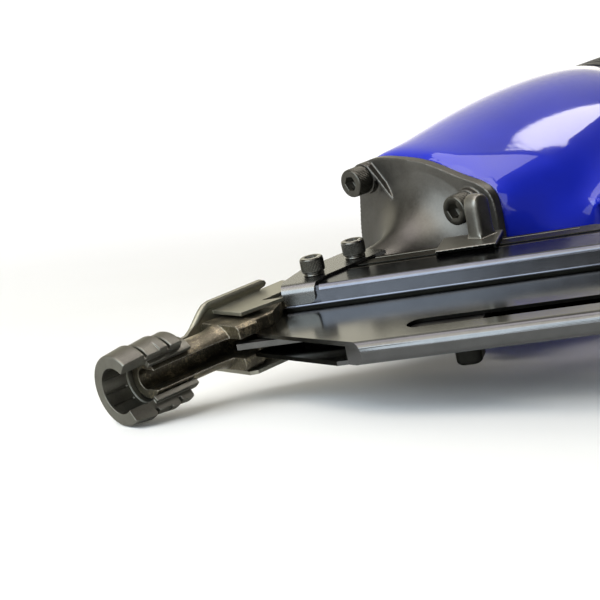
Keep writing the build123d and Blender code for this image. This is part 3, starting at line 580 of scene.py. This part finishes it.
def slim_mouth(me, face=68.0, mouth=4.6, r0=0.7, low=4.75, r1=0.4, step=0.5):
    """lower edge of the rail face: a narrow ledge with a chamfer that catches the light, and a wider shadow gap over the blade"""
    bm = bmesh.new()
    bm.from_mesh(me)
    for z in (5.9, 5.42, -5.42, -5.9):
        bmesh.ops.bisect_plane(bm, geom=bm.verts[:] + bm.edges[:] + bm.faces[:], plane_co=to_row((0, 0, z)), plane_no=row_dir((0, 0, 1)))
    for v in bm.verts:
        t, q, z = strip_coords(v.co)
        h = abs(z)
        if t < 67.0 or q > face + r0 + 0.02:
            continue
        if mouth - 0.02 < h < mouth + r0 + 0.02:
            a = math.atan2(mouth + r0 - h, face + r0 - q)
            q, h = face + r1 - r1 * math.cos(a), low + r1 - r1 * math.sin(a)
        if mouth - 0.02 < h < 5.5:
            v.co = strip_point(t, q - step, math.copysign(h, z))
    bm.to_mesh(me)
    bm.free()
    plain(me)


def blacken(o, inside, mat="knob"):
    """faces chosen by their middle (t, s, z) and normal in the working frame are painted dark, as painted shade in
    slots, gaps and recesses
    """
    me = o.data
    me.materials.append(M[mat])
    back = ROT.transposed()
    for f in me.polygons:
        n = back @ f.normal
        if inside(*strip_coords(f.center), (COS * n.x - SIN * n.y, SIN * n.x + COS * n.y, n.z)):
            f.material_index = 1
    return o


# painted shade on the blade: the walls of the feed slot and the strip under the lower edge of the rail face are painted
# dark where shade falls
def blade_painted_shade(t, q, z, n):
    window = 19.0 < q < 32.0 and abs(n[2]) < 0.5 and q < 60.0
    ledge = q > 68.5 and z > 3.7
    return window or ledge


def guide_painted_shade(t, q, z, n):
    """painted shade on the top of the guide under the rear end of the cover"""
    return COS * t + SIN * q > 112.0 and z > 8.8


# painted shade on the spine top: the long grooves and the strip beside the first one are painted dark where shade lies
def spine_painted_shade(t, q, z, n):
    return 10.0 < abs(z) and (88.5 < q < 93.4 or 100.2 < q < 101.8 and abs(z) < 12.9)


# painted shade on the bracket foot: its front and lower faces are painted dark where the recess under it lies in shade
def foot_painted_shade(t, q, z, n):
    return z < 15.4 and (n[1] < -0.3 or z < 14.9)


def split_spine(me):
    """cut line beside the long groove of the spine, bounding the strip that is painted dark as shade"""
    bm = bmesh.new()
    bm.from_mesh(me)
    bmesh.ops.bisect_plane(bm, geom=bm.verts[:] + bm.edges[:] + bm.faces[:], plane_co=strip_point(0, 88.6, 0), plane_no=row_dir((SIN, COS, 0)))
    bm.to_mesh(me)
    bm.free()
    plain(me)


def soften(o, keep, rounds):
    """round off the chosen part of a casting"""
    me = o.data
    n = len(me.vertices)
    co = np.empty(n * 3)
    me.vertices.foreach_get("co", co)
    co = co.reshape(-1, 3)
    ed = np.empty(len(me.edges) * 2, dtype=np.int32)
    me.edges.foreach_get("vertices", ed)
    ed = ed.reshape(-1, 2)
    inv = np.array(TM.inverted())
    w = keep(co @ inv[:3, :3].T + inv[:3, 3])[:, None]
    deg = np.bincount(ed.ravel(), minlength=n)[:, None].clip(1)
    for _ in range(rounds):
        acc = np.empty_like(co)
        for k in range(3):
            acc[:, k] = np.bincount(ed[:, 0], co[ed[:, 1], k], n) + np.bincount(ed[:, 1], co[ed[:, 0], k], n)
        co = co + (acc / deg - co) * 0.6 * w
    me.vertices.foreach_set("co", co.ravel())
    for name in ("custom_normal", "sharp_edge", "sharp_face"):
        at = me.attributes.get(name)
        if at:
            me.attributes.remove(at)
    me.update()
    return o


def hold(o, node, inside):
    """keep a casting on its exact surface where another piece swings close by"""
    src = NODES[node].data
    tree = BVHTree.FromPolygons([v.co for v in src.vertices], [tuple(f.vertices) for f in src.polygons])
    back = TM.inverted()
    for v in o.data.vertices:
        if inside(back @ v.co):
            v.co = tree.find_nearest(v.co)[0]
    o.data.update()
    return o


def by_trigger(q):
    return 211.0 < q.x < 246.0 and -96.0 < q.y < -57.0 and abs(q.z) < 13.5


def neck_rings(node, spots):
    """spring washers under the cover screws: split in two turns, narrower than the heads"""
    prof = [(3.15, 0.05), (3.2, 0.0), (4.15, 0.0), (4.35, 0.15), (4.4, 0.4), (4.35, 0.62), (4.1, 0.78), (4.1, 0.84), (4.35, 1.0), (4.4, 1.2), (4.35, 1.45), (4.15, 1.6), (3.2, 1.6), (3.15, 1.55)]
    count = 64
    bm = bmesh.new()
    for c in spots:
        rows = [[bm.verts.new(to_row((c[0] + r * math.cos(2 * math.pi * i / count), c[1] + r * math.sin(2 * math.pi * i / count), c[2] + h))) for i in range(count)] for r, h in prof]
        for a, b in zip(rows, rows[1:] + rows[:1]):
            for i in range(count):
                bm.faces.new((a[i], a[(i + 1) % count], b[(i + 1) % count], b[i]))
    bmesh.ops.recalc_face_normals(bm, faces=bm.faces)
    me = bpy.data.meshes.new(node + "_mesh")
    bm.to_mesh(me)
    bm.free()
    return stands_for(node, plain(me), "_rings")


def tube(bm, path, radii, count=20):
    """closed round bar through points of the working frame, in one plane y = const"""
    rows = []
    n = len(path)
    for i, (c, r) in enumerate(zip(path, radii)):
        a, b = Vector(path[max(0, i - 1)]), Vector(path[min(n - 1, i + 1)])
        d = (b - a).normalized()
        side = Vector((0, 1, 0))
        up = d.cross(side).normalized()
        rows.append([bm.verts.new(to_row(Vector(c) + (side * math.cos(2 * math.pi * k / count) + up * math.sin(2 * math.pi * k / count)) * r)) for k in range(count)])
    for r0, r1 in zip(rows, rows[1:]):
        for k in range(count):
            bm.faces.new((r0[k], r0[(k + 1) % count], r1[(k + 1) % count], r1[k]))
    bm.faces.new(rows[0][::-1])
    bm.faces.new(rows[-1])


def beaded_arm(node):
    """contact arm with the round bead that stiffens its upper edge"""
    y = 11.25
    key = [(35.0, 4.6, 0.9), (44.0, 4.9, 1.25), (47.2, 6.2, 1.4), (51.0, 9.3, 1.6), (54.5, 12.4, 1.75), (57.0, 14.1, 1.85), (59.5, 14.6, 1.9), (70.0, 14.6, 1.9), (86.0, 14.6, 1.9), (87.6, 14.6, 1.85), (88.6, 14.6, 1.5), (89.1, 14.6, 0.8)]
    o = crisp(node, 0.7, 4)
    bm = bmesh.new()
    bm.from_mesh(o.data)
    old = set(bm.faces)
    tube(bm, [(a, y, b) for a, b, r in key], [r for a, b, r in key])
    bmesh.ops.recalc_face_normals(bm, faces=[f for f in bm.faces if f not in old])
    for f in bm.faces:
        f.smooth = True
    bm.to_mesh(o.data)
    bm.free()
    return o


def bent_cover(node, bend=3.9, corner=2.6, thick=1.6):
    """cover sheet bent over the rail edge; t runs along the rail and s across it"""
    ca, sa = math.cos(math.radians(56.0)), math.sin(math.radians(56.0))
    xy = lambda t, q: (ca * t + sa * q, -sa * t + ca * q)
    top, low, face = 14.2, 6.1, 68.0
    left = ([face, 77.7, 94.0, 120.1], [51.5, 50.2, 53.8, 71.4])
    right = ([face, 80.2, 108.8, 120.1], [65.4, 68.9, 88.2, 71.6])
    path = []
    for z in (low, low + 0.45, low + 0.95, low + 1.5, low + corner):
        path.append((face, float(z)))
    for a in np.linspace(0, math.pi / 2, 13):
        path.append((face + bend * (1 - math.cos(a)), top - bend + bend * math.sin(a)))
    for q in (73.2, 75.4, 77.7, 80.2, 83.0, 86.5, 90.0, 94.0, 98.0, 103.0, 108.8, 112.0, 115.0, 117.2, 118.9):
        path.append((float(q), top))
    path.sort(key=lambda v: (v[0], v[1]))
    bm = bmesh.new()
    rows = []
    for q, z in path:
        a, b = np.interp(q, *left), np.interp(q, *right)
        k = max(0.0, low + corner - z)
        cut = corner - math.sqrt(max(0.0, corner * corner - k * k))
        a, b = a + cut, b - cut
        rows.append([bm.verts.new(to_row((*xy(t, q), z))) for t in np.linspace(a, b, 6)])
    for r0, r1 in zip(rows, rows[1:]):
        for i in range(5):
            bm.faces.new((r0[i], r0[i + 1], r1[i + 1], r1[i]))
    bmesh.ops.recalc_face_normals(bm, faces=bm.faces)
    bm.normal_update()
    up = row_dir((0, 0, 1))
    if sum(f.normal.dot(up) * f.calc_area() for f in bm.faces) < 0:
        bmesh.ops.reverse_faces(bm, faces=bm.faces)
    me = bpy.data.meshes.new(node + "_mesh")
    bm.to_mesh(me)
    bm.free()
    plain(me)
    o = link(bpy.data.objects.new(node + "_work", me))
    so = o.modifiers.new("sheet", "SOLIDIFY")
    so.thickness, so.offset, so.use_even_offset = thick * 1e-3, -1.0, True
    me = baked(o)
    me.set_sharp_from_angle(angle=math.radians(50))
    return stands_for(node, me, "_bent")


cast("contact_tip", 0.16, 3, 80000)
# the guide's top under the rear end of the cover is painted dark as shade
blacken(cast("driver_guide", 0.22, 4, 90000), guide_painted_shade, "spine")
cast("nose_flange", 0.36, 8, 110000)
even_normals(hold(cast("housing", 1.1, 24), "housing", by_trigger), body_zone, 130, shoulder)
bent_cover("feed_cover")
# the bracket foot's front and lower faces get painted shade
blacken(soften(cast("magazine_bracket", 0.28, 8), lambda p: np.where(p[:, 2] > 16.6, 1.0, 0.0), 110), foot_painted_shade)
ribbed_grip("handle_grip")
beaded_arm("contact_arm")
# the blade's slot walls and the strip under the rail get painted shade
blacken(crisp("magazine_blade", 0.25, shape=full_lip), blade_painted_shade)
# the spine's grooves and the strip beside them get painted shade
blacken(crisp("magazine_spine", 0.3, shape=split_spine), spine_painted_shade)
crisp("magazine_rail", 0.3, shape=slim_mouth)
neck_rings("feed_cover_washers", [(104.1, -5.2, 14.2), (128.2, -5.2, 14.2)])
for n, w in (("contact_link", 0.3),
             ("pusher", 0.25), ("pusher_knob", 0.3), ("magazine_end_cap", 0.5), ("rear_bracket", 0.5), ("air_plug", 0.25),
             ("trigger", 0.6), ("handle_end_cap", 0.7), ("cylinder_cap", 0.6), ("exhaust_deflector", 0.5), ("bracket_nut", 0.3)):
    crisp(n, w)

# -------------------------------------------------------------- camera and stage
CAM_R = ((0.72850097, -0.65311149, -0.20671651), (0.31355137, 0.04960632, 0.94827462), (-0.6090746, -0.75563523, 0.24092226))
CAM_C = (-327.83393606, -528.11081353, 173.00477568)
cam_data = bpy.data.cameras.new("camera")
cam_data.sensor_fit = "HORIZONTAL"
cam_data.sensor_width = 36.0
cam_data.lens = 1672.2296 * 36.0 / 600.0
cam_data.clip_start, cam_data.clip_end = 0.05, 50.0
cam = link(bpy.data.objects.new("camera", cam_data))
axes = [row_dir(a) for a in CAM_R]
cm = Matrix((axes[0], axes[1], axes[2])).transposed().to_4x4()
cm.translation = to_row(CAM_C)
cam.matrix_world = cm
bpy.context.scene.camera = cam

bm = bmesh.new()
bmesh.ops.create_grid(bm, x_segments=40, y_segments=40, size=12.0)
fl_mesh = bpy.data.meshes.new("floor")
bm.to_mesh(fl_mesh)
bm.free()
floor = link(bpy.data.objects.new("floor", fl_mesh))
floor.location = (0, 0, -0.0004)
t = Tree("floor_paper")
sheet = t.ramp(t.noise(3.0, 3.0, 0.5), [(0.3, (0.86, 0.855, 0.845)), (0.7, (0.88, 0.88, 0.875))])
t.to("Base Color", sheet)
t.set(Roughness=0.85)
t.to("Normal", t.bump(t.noise(900.0, 3.0, 0.5), 0.05, 0.0002))
far = t.put("ShaderNodeVectorMath", operation="LENGTH")
t.l.new(t.obj, far.inputs[0])
glow = t.put("ShaderNodeEmission")
glow.inputs["Color"].default_value = (1.0, 1.0, 1.0, 1)
glow.inputs["Strength"].default_value = 1.12
mixf = t.put("ShaderNodeMixShader")
t.l.new(t.range(far.outputs["Value"], 0.42, 0.95, 0.0, 1.0), mixf.inputs["Fac"])
t.l.new(t.bsdf.outputs[0], mixf.inputs[1])
t.l.new(glow.outputs[0], mixf.inputs[2])
t.l.new(mixf.outputs[0], t.n["Material Output"].inputs["Surface"])
floor.data.materials.append(t.mat)

world = bpy.data.worlds.new("studio")
bpy.context.scene.world = world
world.use_nodes = True
wn, wl = world.node_tree.nodes, world.node_tree.links
bg = wn["Background"]
geo = wn.new("ShaderNodeTexCoord")
sep = wn.new("ShaderNodeSeparateXYZ")
wl.new(geo.outputs["Generated"], sep.inputs[0])
grad = wn.new("ShaderNodeValToRGB")
for i, (p, c) in enumerate([(0.0, (0.8, 0.8, 0.8)), (0.5, (0.92, 0.885, 0.78)), (0.625, (0.80, 0.77, 0.67)), (0.70, (0.50, 0.475, 0.405)), (0.80, (0.45, 0.43, 0.375)), (0.965, (0.44, 0.425, 0.39))]):
    if i > 1:
        grad.color_ramp.elements.new(p)
    grad.color_ramp.elements[i].position = p
    grad.color_ramp.elements[i].color = (*c, 1)
mr = wn.new("ShaderNodeMapRange")
mr.inputs["From Min"].default_value, mr.inputs["From Max"].default_value = -1.0, 1.0
wl.new(sep.outputs["Z"], mr.inputs["Value"])
wl.new(mr.outputs["Result"], grad.inputs["Fac"])
# the side to the right of the camera is dim, the far side is warm and bright
side = wn.new("ShaderNodeVectorMath")
side.operation = "DOT_PRODUCT"
side.inputs[1].default_value = row_dir((0.45, -0.89, 0.0))
wl.new(geo.outputs["Generated"], side.inputs[0])
dim = wn.new("ShaderNodeMapRange")
for k, v in zip(("From Min", "From Max", "To Min", "To Max"), (0.05, 0.80, 1.0, 0.12)):
    dim.inputs[k].default_value = v
wl.new(side.outputs["Value"], dim.inputs["Value"])
back = wn.new("ShaderNodeVectorMath")
back.operation = "DOT_PRODUCT"
back.inputs[1].default_value = row_dir((0.60, 0.77, 0.22))
wl.new(geo.outputs["Generated"], back.inputs[0])
rise = wn.new("ShaderNodeMapRange")
rise.interpolation_type = "SMOOTHSTEP"
for k, v in zip(("From Min", "From Max", "To Min", "To Max"), (0.45, 0.95, 1.0, 2.3)):
    rise.inputs[k].default_value = v
wl.new(back.outputs["Value"], rise.inputs["Value"])
level = wn.new("ShaderNodeMath")
level.operation = "MULTIPLY"
wl.new(dim.outputs["Result"], level.inputs[0])
wl.new(rise.outputs["Result"], level.inputs[1])
mul = wn.new("ShaderNodeVectorMath")
mul.operation = "SCALE"
wl.new(grad.outputs["Color"], mul.inputs[0])
wl.new(level.outputs["Value"], mul.inputs["Scale"])
wl.new(mul.outputs["Vector"], bg.inputs["Color"])
bg.inputs["Strength"].default_value = 1.0
white = wn.new("ShaderNodeBackground")
white.inputs["Color"].default_value = (1, 1, 1, 1)
white.inputs["Strength"].default_value = 1.1
lp = wn.new("ShaderNodeLightPath")
mixw = wn.new("ShaderNodeMixShader")
wl.new(lp.outputs["Is Camera Ray"], mixw.inputs["Fac"])
wl.new(bg.outputs[0], mixw.inputs[1])
wl.new(white.outputs[0], mixw.inputs[2])
wl.new(mixw.outputs[0], wn["World Output"].inputs["Surface"])


def area(name, pos, target, size, power, color=(1, 1, 1)):
    d = bpy.data.lights.new(name, "AREA")
    d.shape = "RECTANGLE"
    d.size, d.size_y = size
    d.energy = power
    d.color = color
    o = link(bpy.data.objects.new(name, d))
    o.location = pos
    o.rotation_euler = (Vector(target) - Vector(pos)).to_track_quat("-Z", "Y").to_euler()
    o.visible_camera = False
    return o


MID = Vector((-0.03, 0.05, 0.05))
area("window", MID + row_dir((-0.92, 0.03, 0.52)) * 1.6, MID, (1.5, 1.2), 32.0, (0.76, 0.88, 1.0))
area("upper_window", MID + row_dir((-0.475, 0.03, 0.88)) * 1.6, MID, (1.5, 0.8), 14.5, (1.0, 0.95, 0.87))
area("front_fill", MID + row_dir((-0.50, -0.82, 0.28)) * 1.6, MID, (1.2, 0.8), 4.5, (0.90, 0.95, 1.0))



def reflector(name, near, corners, dist, strength, color):
    """bright card seen in the paint: corners are directions from a point, in the working frame"""
    bm = bmesh.new()
    vs = [bm.verts.new(to_row(near) + row_dir(c) * dist) for c in corners]
    bm.faces.new(vs)
    me = bpy.data.meshes.new(name)
    bm.to_mesh(me)
    bm.free()
    o = link(bpy.data.objects.new(name, me))
    m = bpy.data.materials.new(name)
    m.use_nodes = True
    n, l = m.node_tree.nodes, m.node_tree.links
    e = n.new("ShaderNodeEmission")
    e.inputs["Color"].default_value = (*color, 1)
    e.inputs["Strength"].default_value = strength
    l.new(e.outputs[0], n["Material Output"].inputs["Surface"])
    me.materials.append(m)
    o.visible_camera = False
    o.visible_shadow = False
    o.visible_diffuse = False
    return o


def flag(name, near, far, level):
    """dark strip on the floor right of the tool, seen only as a reflection in the metal"""
    right = row_dir((0.45, -0.89, 0.0))
    right = Vector((right.x, right.y, 0.0)).normalized()
    along = Vector((-right.y, right.x, 0.0))
    start = to_row((0, 0, 0))
    start.z = 0.0003
    bm = bmesh.new()
    cut = 12
    grid = [[bm.verts.new(start + right * (near + (far - near) * i / cut) + along * (3.0 * j / cut - 1.5)) for j in range(cut + 1)] for i in range(cut + 1)]
    for a, b in zip(grid, grid[1:]):
        for i in range(cut):
            bm.faces.new((a[i], b[i], b[i + 1], a[i + 1]))
    me = bpy.data.meshes.new(name)
    bm.to_mesh(me)
    bm.free()
    o = link(bpy.data.objects.new(name, me))
    m = bpy.data.materials.new(name)
    m.use_nodes = True
    n, l = m.node_tree.nodes, m.node_tree.links
    e = n.new("ShaderNodeEmission")
    e.inputs["Color"].default_value = (level, level, level * 1.06, 1)
    l.new(e.outputs[0], n["Material Output"].inputs["Surface"])
    me.materials.append(m)
    o.visible_camera = False
    o.visible_shadow = False
    o.visible_diffuse = False
    return o


def up_dir(x, y):
    return (x, y, math.sqrt(max(0.0, 1 - x * x - y * y)))


flag("flag", 0.255, 0.475, 0.28)
reflector("card", (225, -40, 40), [up_dir(0.472, 0.272), up_dir(0.486, 0.0), up_dir(0.525, -0.30), up_dir(0.548, -0.20), up_dir(0.70, -0.10), up_dir(0.72, 0.04)], 1.3, 10.4, (1.0, 0.95, 0.93))
reflector("pale_card", (195, -30, 40), [up_dir(0.22, 0.50), up_dir(0.22, -0.24), up_dir(-0.24, -0.24), up_dir(-0.24, 0.50)], 1.35, 3.5, (1.0, 0.94, 0.98))


bpy.context.scene.view_settings.view_transform = "Standard"
bpy.context.scene.view_settings.look = "None"

# ------------------------------------------------------------------- final update
bpy.context.view_layer.update()
